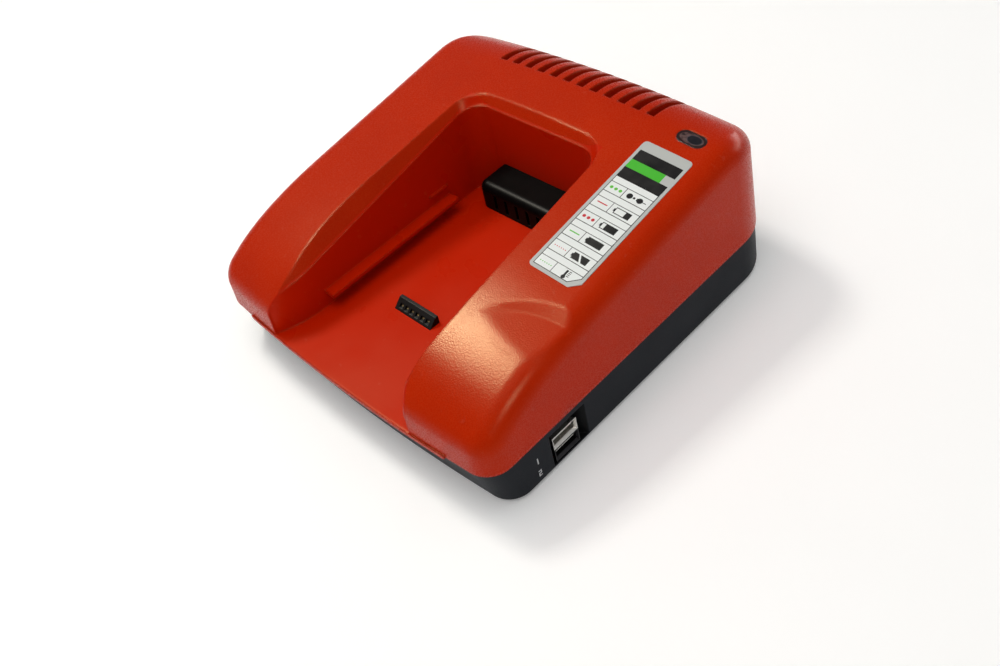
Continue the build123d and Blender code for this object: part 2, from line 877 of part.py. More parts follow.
def usb_shell(z):
    """Sheet-metal shell of a USB socket with a flared mouth, running along X."""
    mouth = usb_mouth_x()
    start = mouth - usb_length
    straight_end = mouth - usb_flare_length
    grow = 2 * usb_flare

    def section(x, wide, high):
        return Plane(origin=(x, usb_y, z), x_dir=(0, 1, 0), z_dir=(1, 0, 0)) * Rectangle(wide, high)

    inner_width = usb_width - 2 * usb_sheet
    inner_height = usb_height - 2 * usb_sheet
    tube = extrude(section(start, usb_width, usb_height), amount=straight_end - start)
    narrow = section(straight_end, usb_width, usb_height)
    horn = loft([narrow, section(mouth, usb_width + grow, usb_height + grow)])
    hole = extrude(section(start - 1, inner_width, inner_height), amount=straight_end - start + 1)
    narrow = section(straight_end, inner_width, inner_height)
    horn_hole = loft([narrow, section(mouth, inner_width + grow, inner_height + grow)])
    return tube + horn - hole - horn_hole


def usb_insulator(z):
    """Rear plug and tongue of a USB socket."""
    start = usb_mouth_x() - usb_length
    half_y = usb_width / 2 - usb_sheet
    half_z = usb_height / 2 - usb_sheet
    plug = block((start, start + 4), (usb_y - half_y, usb_y + half_y), (z - half_z, z + half_z))
    tongue_top = z + half_z - 0.5
    tongue = block(
        (start, usb_mouth_x() - tongue_recess),
        (usb_y - tongue_width / 2, usb_y + tongue_width / 2),
        (tongue_top - tongue_thickness, tongue_top),
    )
    return plug + tongue


def usb_contacts(z):
    """Four strips under the tongue of a USB socket."""
    start = usb_mouth_x() - usb_length + 4
    tongue_bottom = z + usb_height / 2 - usb_sheet - 0.5 - tongue_thickness
    strips = []
    for y in rows(contact_count, contact_pitch):
        y_range = (usb_y + y - contact_width / 2, usb_y + y + contact_width / 2)
        x_range = (start, usb_mouth_x() - tongue_recess - 1)
        strips.append(block(x_range, y_range, (tongue_bottom - contact_thickness, tongue_bottom)))
    return strips


def usb_board():
    """Upright board behind the USB sockets, standing on the lower housing's floor."""
    back = usb_mouth_x() - usb_length
    half = usb_width / 2 + usb_board_margin
    return block((back - usb_board_thickness, back), (usb_y - half, usb_y + half), (base_inside, pocket_top))


def mains_inlet():
    """Body of the inlet with its three-lobed recess and a flange behind the wall."""
    rear = inlet_face()
    half_x = inlet_width / 2
    half_z = inlet_body_height / 2
    span = (inlet_x - half_x, inlet_x + half_x)
    body = block(span, (rear - inlet_depth, rear), (inlet_z - half_z, inlet_z + half_z))
    flange = block(
        (inlet_x - half_x - inlet_flange, inlet_x + half_x + inlet_flange),
        (rear - wall - inlet_flange_thickness, rear - wall),
        (inlet_z - half_z - 0.8, inlet_z + half_z + 0.8),
    )
    plane = Plane(origin=(inlet_x, rear + 1, inlet_z), x_dir=(-1, 0, 0), z_dir=(0, 1, 0))
    recess = extrude(plane * inlet_lobes(), amount=-(inlet_recess + 1))
    return body + flange - recess - total(inlet_pins())


def inlet_pins():
    """Three round pins with tails behind the inlet."""
    rear = inlet_face()
    low = rear - inlet_depth - pin_tail
    high = rear - inlet_recess + pin_length
    places = ((-lobe_spacing, -lobe_drop), (lobe_spacing, -lobe_drop), (0, lobe_rise))
    pins = []
    for x, z in places:
        middle = Pos(inlet_x + x, (low + high) / 2, inlet_z + z)
        pins.append(middle * Rot(90, 0, 0) * Cylinder(pin_radius, high - low))
    return pins


def main_board():
    """Main circuit board with a notch that clears the USB sockets."""
    board = block((-board_right, board_right), (board_front, board_rear), (board_height, board_top))
    notch = block(
        (board_right - board_notch[0], board_right + 1),
        (board_front - 1, board_front + board_notch[1]),
        (0, parting_height),
    )
    for x, y in standoff_places():
        board = board - cylinder(x, y, 0, parting_height, board_screw_radius + screw_clearance)
    return board - notch


def board_place(x, gap):
    """Place on the main board at a gap from its rear edge."""
    return (x, board_rear - gap)


def standing(place, size, base=0.0):
    """Box that stands on the main board."""
    x, y = place
    wide, deep, tall = size
    z_range = (board_top + base, board_top + base + tall)
    return block((x - wide / 2, x + wide / 2), (y - deep / 2, y + deep / 2), z_range)


def can(place, size):
    """Capacitor can with a rolled edge near its top."""
    x, y = place
    radius, height = size
    body = cylinder(x, y, board_top, board_top + height, radius)
    body = fillet(body.edges().group_by(Axis.Z)[-1], radius / 8)
    groove_z = board_top + radius / 2
    groove = Pos(x, y, groove_z) * Torus(radius + 0.3, 0.6)
    return body - groove


def transformer():
    """Core of two E halves and the wound bobbin through it."""
    wide, deep, tall = transformer_core_size
    place = board_place(transformer_x, transformer_gap)
    core = standing(place, transformer_core_size)
    winding_wide, winding_deep, winding_tall = transformer_winding_size
    base = (tall - winding_tall) / 2
    coil = standing(place, transformer_winding_size, base)
    coil = fillet(coil.edges().filter_by(Axis.Z), winding_wide / 6)
    return core - standing(place, (winding_wide, deep + 2, winding_tall), base), coil


def toroid_choke():
    """Toroid core on a base plate, with its winding as two thick bands."""
    x, y = board_place(choke_x, choke_gap)
    outer_radius, hole_radius = choke_radii
    low = board_top + choke_base
    plate = standing((x, y), (2 * outer_radius, 2 * outer_radius, choke_base))
    ring = cylinder(x, y, low, low + choke_height, outer_radius - 1)
    ring = ring - cylinder(x, y, low - 1, low + choke_height + 1, hole_radius)
    outer_band = cylinder(x, y, low, low + choke_height, outer_radius)
    outer_band = outer_band - cylinder(x, y, low - 1, low + choke_height + 1, outer_radius - 1)
    gap = block((x - 2, x + 2), (y - outer_radius - 1, y + outer_radius + 1), (low, low + choke_height))
    return plate + ring, outer_band - gap


def heat_sink():
    """Finned plate that stands on the main board."""
    x, y = board_place(-arm_middle, heat_sink_gap)
    thick, long, tall = heat_sink_size
    body = standing((x, y), heat_sink_size)
    fin_reach, fin_thick = fin_size
    for offset in rows(fin_count, (long - fin_thick) / (fin_count - 1)):
        place = (x - thick / 2 - fin_reach / 2, y + offset)
        body = body + standing(place, (fin_reach, fin_thick, tall))
    return body


def transistor():
    """Flat power transistor against the heat sink, with three legs down to the board."""
    x, y = board_place(-arm_middle, heat_sink_gap)
    x = x + heat_sink_size[0] / 2 + transistor_size[0] / 2
    body = standing((x, y), transistor_size, transistor_lift)
    for offset in rows(3, leg_pitch):
        body = body + standing((x, y + offset), (*leg_size, transistor_lift))
    return body


def fuse():
    """Glass tube with two caps, lying along Y in two clips."""
    x, y = -arm_middle, board_front + fuse_front_gap
    clip_wide, clip_deep, clip_tall = clip_size
    axis_z = board_top + clip_tall - fuse_radius / 2
    tube = Pos(x, y, axis_z) * Rot(90, 0, 0) * Cylinder(fuse_radius, fuse_length)
    clips = []
    for offset in (-1, 1):
        place = (x, y + offset * (fuse_length - clip_wide) / 2)
        clips.append(standing(place, (clip_deep, clip_wide, clip_tall)) - tube)
    return tube, clips


def machine_screw(x, y, head_low, head_height, head_radius, shank_radius, shank_low, shank_high):
    """Upright screw with a round head."""
    head = cylinder(x, y, head_low, head_low + head_height, head_radius)
    shank = cylinder(x, y, shank_low, shank_high, shank_radius)
    return head + shank


def cross_recess(x, y, low, high, size):
    """Cross-shaped recess for a driver."""
    long = size / 2
    short = size / 8
    bar = block((x - long, x + long), (y - short, y + short), (low, high))
    return bar + block((x - short, x + short), (y - long, y + long), (low, high))


def housing_screws():
    """Four screws driven up from below."""
    screws = []
    for x, y in screw_places():
        low = counterbore_top - screw_head_height
        top = counterbore_top + screw_length
        screw = machine_screw(x, y, low, screw_head_height, screw_head_radius, screw_radius, low, top)
        screws.append(screw - cross_recess(x, y, low - 1, low + 1.2, screw_head_radius * 1.3))
    return screws


def board_screws():
    """Four screws through the main board."""
    screws = []
    head = screw_head_height * 0.8
    for x, y in standoff_places():
        low = board_height - board_screw_depth + 0.5
        top = board_top + head
        screw = machine_screw(x, y, board_top, head, board_screw_head, board_screw_radius, low, board_top)
        screws.append(screw - cross_recess(x, y, top - 0.9, top + 1, board_screw_head * 1.2))
    return screws


def led_board():
    """Small board under the status window."""
    wide, deep, thick = led_board_size
    return block(
        (window_x - wide / 2, window_x + wide / 2),
        (window_y - deep / 2, window_y + deep / 2),
        (led_board_height, led_board_height + thick),
    )


def led_board_screws():
    """Two screws up through the light board into its posts."""
    screws = []
    head = screw_head_height * 0.7
    for side in (-1, 1):
        x = window_x + side * led_post_offset
        low = led_board_height - head
        top = led_board_height + board_screw_depth - 0.5
        screw = machine_screw(x, window_y, low, head, led_post_radius * 0.9, board_screw_radius, low, top)
        screws.append(screw - cross_recess(x, window_y, low - 1, low + 0.8, led_post_radius))
    return screws


def status_leds():
    """Two round lights on the light board."""
    top = led_board_height + led_board_size[2]
    leds = []
    for offset in (-led_spacing / 2, led_spacing / 2):
        x = window_x + offset
        body = cylinder(x, window_y, top, top + led_height - led_radius, led_radius)
        dome = Pos(x, window_y, top + led_height - led_radius) * Sphere(led_radius)
        leds.append(body + dome + cylinder(x, window_y, top, top + 0.8, led_radius + 0.3))
    return leds


def bend_radii(points):
    """Radius of each bend: 0.45 of the shorter run over the tangent of half the turn."""
    radii = []
    for before, here, after in zip(points, points[1:], points[2:]):
        first = Vector(*here) - Vector(*before)
        second = Vector(*after) - Vector(*here)
        turn = radians(first.get_angle(second))
        radii.append(0.45 * min(first.length, second.length) / tan(turn / 2))
    return radii


def wire(points, radius):
    """Round wire along straight runs joined by tangent arcs."""
    path = FilletPolyline(*points, radius=bend_radii(points))
    start = Vector(*points[0])
    section = Plane(origin=start, z_dir=Vector(*points[1]) - start) * Circle(radius)
    return sweep(section, path)


def inlet_wires():
    """Wires from the inlet's two lower pins to the main board."""
    wires = []
    tail_y = inlet_face() - inlet_depth - pin_tail
    for side in (-1, 1):
        x = inlet_x + side * lobe_spacing
        z = inlet_z - lobe_drop
        points = [
            (x, tail_y, z),
            (x, tail_y - 4, z),
            (x, tail_y - 9, z + 7),
            (x, tail_y - 15, z + 7),
            (x, tail_y - 17, board_top + 4),
            (x, tail_y - 17, board_top),
        ]
        wires.append(wire(points, wire_radius))
    return wires


def light_cable():
    """Wires side by side from the light board down to the main board."""
    wires = []
    for offset in rows(3, ribbon_pitch):
        x = window_x + offset
        y = window_y - led_board_size[1] / 4
        points = [
            (x, y, led_board_height),
            (x, y, led_board_height - 7),
            (x, y - 7, led_board_height - 15),
            (x - 1, y - 12, led_board_height - 26),
            (x - 2, y - 16, board_top + 14),
            (x - 2, y - 15, board_top + 6),
            (x - 2, y - 15, board_top),
        ]
        wires.append(wire(points, ribbon_radius))
    return wires


outer_skin = housing_volume(0)
save("upper_housing", upper_housing(outer_skin))
save("lower_housing", lower_housing())

blades = terminal_blades()
save("terminal_block", terminal_block(blades))
save("terminal_blades", Compound(children=blades))
strips = ramp_strips()
save("ramp_connector", ramp_connector(strips))
save("ramp_strips", Compound(children=strips))

window_prism = extrude(Plane.XY.offset(parting_height) * window_profile(0), amount=rear_height)
save("status_window", (outer_skin & window_prism) - housing_volume(window_thickness))
save("status_label", (housing_volume(-label_thickness) & label_prism()) - outer_skin)
save("status_leds", Compound(children=status_leds()))
save("led_board", led_board() - total(led_board_screws()))
save("led_board_screws", Compound(children=led_board_screws()))
save("light_cable", Compound(children=light_cable()))

save("main_board", main_board())
save("board_screws", Compound(children=board_screws()))
core, winding = transformer()
save("transformer_core", core)
save("transformer_winding", winding)
save("bulk_capacitor", can(board_place(bulk_capacitor_x, bulk_capacitor_gap), bulk_capacitor_size))
output_places = [board_place(arm_middle, gap) for gap in output_capacitor_gaps]
output_cans = [can(place, output_capacitor_size) for place in output_places]
save("output_capacitors", Compound(children=output_cans))
save("filter_capacitor", standing(board_place(-arm_middle, filter_capacitor_gap), filter_capacitor_size))
choke_core, choke_winding = toroid_choke()
save("choke_core", choke_core)
save("choke_winding", choke_winding)
save("bridge_rectifier", standing(board_place(bridge_x, bridge_gap), bridge_size))
save("heat_sink", heat_sink())
save("switching_transistor", transistor())
fuse_tube, fuse_clips = fuse()
save("fuse", fuse_tube)
save("fuse_clips", Compound(children=fuse_clips))

upper_z, lower_z = usb_heights()
save("usb_shell_upper", usb_shell(upper_z))
save("usb_shell_lower", usb_shell(lower_z))
save("usb_insulators", Compound(children=[usb_insulator(z) for z in usb_heights()]))
save("usb_contacts", Compound(children=usb_contacts(upper_z) + usb_contacts(lower_z)))
save("usb_board", usb_board())
save("port_numbers", number_marks())

save("mains_inlet", mains_inlet())
save("inlet_pins", Compound(children=inlet_pins()))
save("inlet_wires", Compound(children=inlet_wires()))

save("housing_screws", Compound(children=housing_screws()))
foot_top = base_bottom + foot_recess
feet = [cylinder(x, y, 0, foot_top, foot_radius) for x, y in foot_places()]
save("rubber_feet", Compound(children=feet))
plate_wide, plate_deep, plate_thick = rating_plate_size
plate_span = (-plate_wide / 2, plate_wide / 2)
plate_reach = (rating_plate_y - plate_deep / 2, rating_plate_y + plate_deep / 2)
save("rating_plate", block(plate_span, plate_reach, (base_bottom - plate_thick, base_bottom)))
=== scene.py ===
# Studio scene for a desktop charger with a red upper housing and a black base.
# Lengths in the settings are millimetres unless a line says otherwise.
import math

import bmesh
import bpy
from mathutils import Euler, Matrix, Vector


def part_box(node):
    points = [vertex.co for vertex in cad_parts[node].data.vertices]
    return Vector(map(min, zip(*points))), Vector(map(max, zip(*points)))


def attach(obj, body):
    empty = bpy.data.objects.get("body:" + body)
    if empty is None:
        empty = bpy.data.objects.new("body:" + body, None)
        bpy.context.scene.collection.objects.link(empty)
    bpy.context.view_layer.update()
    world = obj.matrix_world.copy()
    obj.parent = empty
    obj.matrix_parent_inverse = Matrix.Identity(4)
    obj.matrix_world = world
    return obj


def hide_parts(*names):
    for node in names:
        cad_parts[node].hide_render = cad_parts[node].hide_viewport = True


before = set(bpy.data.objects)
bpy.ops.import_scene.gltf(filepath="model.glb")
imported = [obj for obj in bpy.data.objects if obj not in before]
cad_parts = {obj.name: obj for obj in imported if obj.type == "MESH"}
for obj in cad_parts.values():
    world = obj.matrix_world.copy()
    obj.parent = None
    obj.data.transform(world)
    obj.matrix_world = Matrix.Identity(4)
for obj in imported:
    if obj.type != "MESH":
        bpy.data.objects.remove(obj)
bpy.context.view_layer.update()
mm = 0.001


def nodeBox(node):  # lowest and highest corner in millimetres, to a tenth because round pieces have facets
    return [Vector([round(value / mm, 1) for value in corner]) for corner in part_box(node)]


print("camera")
cameraSettings = {
    "position": (0.3196997, -0.2343798, 0.3759841),  # metres
    "turn": (50.7525, 11.7505, 46.1986),  # degrees
    "lens": 40.536,
    "shift": (0.04898, -0.13480),
    "sensor": 36,
    "nearest": 0.01,  # metres
}


def placeCamera(look):
    lens = bpy.data.cameras.new("studioCamera")
    lens.lens = look["lens"]
    lens.sensor_width = look["sensor"]
    lens.shift_x, lens.shift_y = look["shift"]
    lens.clip_start = look["nearest"]
    camera = bpy.data.objects.new("studioCamera", lens)
    camera.location = look["position"]
    camera.rotation_euler = Euler([math.radians(angle) for angle in look["turn"]])
    bpy.context.collection.objects.link(camera)
    bpy.context.scene.camera = camera


placeCamera(cameraSettings)


def colour(red, green, blue):  # display values, 0 to 255
    shares = [value / 255 for value in (red, green, blue)]
    return (*[s / 12.92 if s < 0.04045 else ((s + 0.055) / 1.055) ** 2.4 for s in shares], 1)


class Value:  # an output socket that can be used in sums
    def __init__(self, finish, socket):
        self.finish = finish
        self.socket = socket

    def sum(self, operation, first, second=0.0):
        return self.finish.node("Math", {"operation": operation}, [first, second])

    def __add__(self, other):
        return self.sum("ADD", self, other)

    def __sub__(self, other):
        return self.sum("SUBTRACT", self, other)

    def __rsub__(self, other):
        return self.sum("SUBTRACT", other, self)

    def __mul__(self, other):
        return self.sum("MULTIPLY", self, other)

    def __truediv__(self, other):
        return self.sum("DIVIDE", self, other)

    def __mod__(self, other):
        return self.sum("FLOORED_MODULO", self, other)

    def __gt__(self, other):
        return self.sum("GREATER_THAN", self, other)

    def __lt__(self, other):
        return self.sum("LESS_THAN", self, other)

    def __and__(self, other):  # where both masks are on
        return self.sum("MINIMUM", self, other)

    def __or__(self, other):  # where either mask is on
        return self.sum("MAXIMUM", self, other)

    def __abs__(self):
        return self.sum("ABSOLUTE", self)

    __radd__ = __add__
    __rmul__ = __mul__


class Finish:  # a material: its shader and the nodes that feed it
    def __init__(self, name):
        self.material = bpy.data.materials.new(name)
        self.material.use_nodes = True
        self.tree = self.material.node_tree
        self.shader = self.tree.nodes["Principled BSDF"]
        place = self.node("TexCoord", output="Object")
        self.point = self.node("VectorMath", {"operation": "SCALE"}, {"Vector": place, "Scale": 1 / mm})
        self.x, self.y, self.z = [self.node("SeparateXYZ", {}, [self.point], axis) for axis in "XYZ"]

    def node(self, kind, settings=None, inputs=None, output=0):
        made = self.tree.nodes.new("ShaderNode" + kind)
        for key, value in (settings or {}).items():
            setattr(made, key, value)
        pairs = inputs.items() if isinstance(inputs, dict) else enumerate(inputs or [])
        for key, value in pairs:
            self.feed(made.inputs[key], value)
        return Value(self, made.outputs[output])

    def feed(self, socket, value):
        if isinstance(value, Value):
            self.tree.links.new(value.socket, socket)
        else:
            socket.default_value = value

    def shade(self, sockets):
        for key, value in sockets.items():
            self.feed(self.shader.inputs[key], value)

    def mix(self, factor, first, second):
        return self.node("Mix", {"data_type": "RGBA"}, {0: factor, 6: first, 7: second}, 2)

    def mixValue(self, factor, first, second):
        return self.node("Mix", {"data_type": "FLOAT"}, {0: factor, 2: first, 3: second}, 0)

    def noise(self, size, detail=2.0, stretch=None):  # 0 to 1, about 0.5
        point = self.point
        if stretch:
            point = self.node("VectorMath", {"operation": "MULTIPLY"}, [point, stretch])
        return self.node("TexNoise", {}, {"Vector": point, "Scale": 1 / size, "Detail": detail})

    def cells(self, size, randomness=1.0):  # distance to the nearest cell middle
        inputs = {"Vector": self.point, "Scale": 1 / size, "Randomness": randomness}
        return self.node("TexVoronoi", {}, inputs)

    def spread(self, value, low, high, newLow=0.0, newHigh=1.0):  # remap with clamped ends
        return self.node("MapRange", {}, [value, low, high, newLow, newHigh])

    def patches(self, size, detail, low, high):  # soft patches between two values
        return self.spread(self.noise(size, detail), 0.3, 0.7, low, high)

    def box(self, x, y, low, high):  # mask of a rectangle
        return (x > low[0]) & (x < high[0]) & (y > low[1]) & (y < high[1])

    def distance(self, x, y):
        return self.node("Math", {"operation": "SQRT"}, [x * x + y * y])

    def disc(self, x, y, middle, radius):  # mask of a disc
        across, along = x - middle[0], y - middle[1]
        return (across * across + along * along) < radius * radius

    def rounded(self, radius):  # normal with the sharp edges softened
        return self.node("Bevel", {"samples": 4}, {"Radius": radius * mm})

    def edges(self, radius):  # 1 along sharp edges, 0 elsewhere
        flat = self.node("NewGeometry", output="Normal")
        dot = self.node("VectorMath", {"operation": "DOT_PRODUCT"}, [self.rounded(radius), flat], "Value")
        return self.spread(dot, 0.995, 0.85)

    def relief(self, height, depth, edge=0.0):
        inputs = {"Strength": 1.0, "Distance": depth * mm, "Height": height}
        if edge:
            inputs["Normal"] = self.rounded(edge)
        self.shade({"Normal": self.node("Bump", {}, inputs)})


plasticDefaults = {"cloudSize": 22, "specular": 0.3, "coat": 0.0, "coatRoughness": 0.12}


def mouldedPlastic(name, look):
    finish = Finish(name)
    cloud = finish.noise(look["cloudSize"], 3)
    grain = finish.noise(look["grainSize"], 3)
    tone = finish.mix(finish.spread(cloud, 0.3, 0.7), look["colour"], look["second"])
    if "recess" in look:  # painted shade: near-black inside the recess, between its two corners
        (left, front, bottom), (right, rear, top) = look["recess"]
        inside = finish.box(finish.x, finish.y, (left, front), (right, rear))
        inside = inside & (finish.z > bottom) & (finish.z < top)
        tone = finish.mix(inside, tone, look["recessPaintedShade"])
    if "wear" in look:  # paler along the edges
        rub = finish.edges(look["edge"] * look["wearReach"]) * look["wear"]
        tone = finish.mix(rub, tone, look["worn"])
    finish.shade({
        "Base Color": tone,
        "Roughness": finish.spread(grain + cloud * 0.6, 0.5, 1.1, *look["roughness"]),
        "Specular IOR Level": look["specular"],
        "Coat Weight": look["coat"],
        "Coat Roughness": look["coatRoughness"],
    })
    finish.relief(grain, look["grainDepth"], look["edge"])
    return finish


metalDefaults = {"stainSize": 6, "edge": 0.1}


def brushedMetal(name, look):
    finish = Finish(name)
    streaks = finish.noise(look["streakSize"], 3, look["stretch"])
    stain = finish.noise(look["stainSize"], 3)
    tone = finish.mix(finish.spread(stain, 0.35, 0.7), look["colour"], look["second"])
    finish.shade({
        "Base Color": tone,
        "Metallic": 1.0,
        "Roughness": finish.spread(streaks + stain * 0.5, 0.5, 1.0, *look["roughness"]),
    })
    finish.relief(streaks, look["depth"], look["edge"])
    return finish


# Red upper housing: grained outside, smoother in the bay, calmer on the sides and over the rear
redSettings = {
    "colour": colour(189, 38, 0),
    "deep": colour(182, 34, 0),
    "bayColour": colour(194, 30, 0),
    "dust": colour(205, 150, 130),
    "dustShare": 0.05,
    "roughness": (0.20, 0.28),
    "bayRoughness": (0.26, 0.34),
    "specular": 0.09,
    "specularTint": (1.0, 0.82, 0.46, 1.0),
    "grainSize": 0.60,
    "grainDepth": 0.05,
    "bayGrainDepth": 0.008,
    "calmGrainShare": 0.15,
    "calmSides": (84.0, 89.0),  # distance from the middle over which the grain fades
    "calmRear": (66.0, 80.0),
    "edge": 1.8,
    "scoopMiddle": (73.5, -41.0),
    "scoopReach": (20.0, 24.0),  # the scoop's own edge radius fades out over this distance
    "scoopRows": (-52.0, -44.0),  # from its soft front edge to its crisper rear ones
    "scoopEdges": (6.5, 1.8),
    "bayHalfWidth": 41.5,
    "bayRear": 39.5,
    "bayFloor": 25.9,
    "flareStart": -73.0,
    "flareEnd": -97.0,
    "flareShare": 0.0113,  # flare grows with the square of the distance
}


def redPlastic(look):
    finish = Finish("redHousing")
    start, end = look["flareStart"], look["flareEnd"]
    past = finish.spread(finish.y, start, end, 0.0, start - end)
    half = past * past * look["flareShare"] + look["bayHalfWidth"]
    bay = (abs(finish.x) < half) & (finish.y < look["bayRear"]) & (finish.z > look["bayFloor"])
    cloud = finish.noise(30, 3)
    pits = finish.spread(finish.cells(look["grainSize"]), 0.0, 0.75)
    grain = pits * 0.65 + finish.noise(look["grainSize"], 2) * 0.35
    tone = finish.mix(finish.spread(cloud, 0.3, 0.7), look["colour"], look["deep"])
    tone = finish.mix(bay, tone, look["bayColour"])
    spots = finish.spread(finish.noise(3.2, 5), 0.66, 0.72) * look["dustShare"]
    finish.shade({
        "Base Color": finish.mix(spots, tone, look["dust"]),
        "Roughness": finish.mixValue(
            bay,
            finish.spread(grain, 0.35, 0.65, *look["roughness"]),
            finish.spread(cloud, 0.35, 0.65, *look["bayRoughness"]),
        ),
        "Specular IOR Level": look["specular"],
        "Specular Tint": look["specularTint"],
    })
    calm = finish.spread(abs(finish.x), *look["calmSides"]) | finish.spread(finish.y, *look["calmRear"])
    depth = finish.mixValue(calm, 1.0, look["calmGrainShare"])
    depth = finish.mixValue(bay, depth, look["bayGrainDepth"] / look["grainDepth"])
    middleX, middleY = look["scoopMiddle"]
    away = finish.distance(abs(finish.x) - middleX, finish.y - middleY)
    soft = finish.spread(finish.y, *look["scoopRows"], *look["scoopEdges"])
    edge = finish.spread(away, *look["scoopReach"], soft, look["edge"])
    finish.relief(grain * depth, look["grainDepth"], edge)
    return finish


labelLow, labelHigh = nodeBox("status_label")
labelSettings = {
    "left": labelLow.x,
    "rear": labelHigh.y,
    "silver": colour(188, 190, 186),
    "white": colour(236, 239, 236),
    "ink": colour(14, 14, 17),
    "green": colour(72, 186, 50),
    "dotGreen": colour(96, 192, 60),
    "red": colour(196, 40, 52),
    "roughness": (0.28, 0.40),
    "specular": 0.12,
    # across the label from its left side, and down it from its rear end
    "sides": (1.5, 23.7),
    "outline": 0.35,
    "bandRows": (5.3, 21.7),
    "greenRows": (11.3, 16.1),
    "greenRight": 19.4,
    "tableBottom": 75.7,
    "corner": 95.2,  # most that the two distances add up to, at the cut corner
    "cornerLine": 0.5,
    "rowStart": 21.9,
    "rowPitch": 9.0,
    # in one row of the table
    "headingRows": (0.2, 3.2),
    "cellRows": (3.5, 8.85),
    "split": (10.2, 10.5),
    "markDrop": 0.55,
    "markMiddle": 5.6,
    "dotMiddle": 6.2,
    "threeDots": (3, 2.3, 0.78),  # number, pitch, radius
    "smallDots": (6, 1.1, 0.27),
    "bar": (3.6, 8.8, 0.28),  # left, right, half height
    "battery": ((12.8, 3.9), (20.6, 7.3)),
    "batteryNose": ((12.2, 4.8), (12.8, 6.4)),
    "batteryInside": (13.2, 4.3, 6.9),  # left, low, high
    "batteryBlanks": (17.8, 14.8, 13.2),  # how far right it is blank: low, half, full
    "plugDiscs": ((13.4, 1.4), (18.6, 1.4)),  # middle, radius
    "plugBars": (((15.2, 5.1), (16.2, 6.1)), ((17.0, 4.9), (17.6, 6.3)), ((19.5, 5.42), (21.8, 5.78))),
    "crack": (16.6, 0.6, 0.45),  # middle, slope, half width
    "bulb": (16.4, 7.0, 0.95),  # middle, height, radius
    "stem": ((15.9, 3.5), (16.9, 6.8)),
    "ticks": ((17.3, 3.6), (18.5, 6.4)),
    "tickPitch": 0.8,
    "tickWidth": 0.35,
}


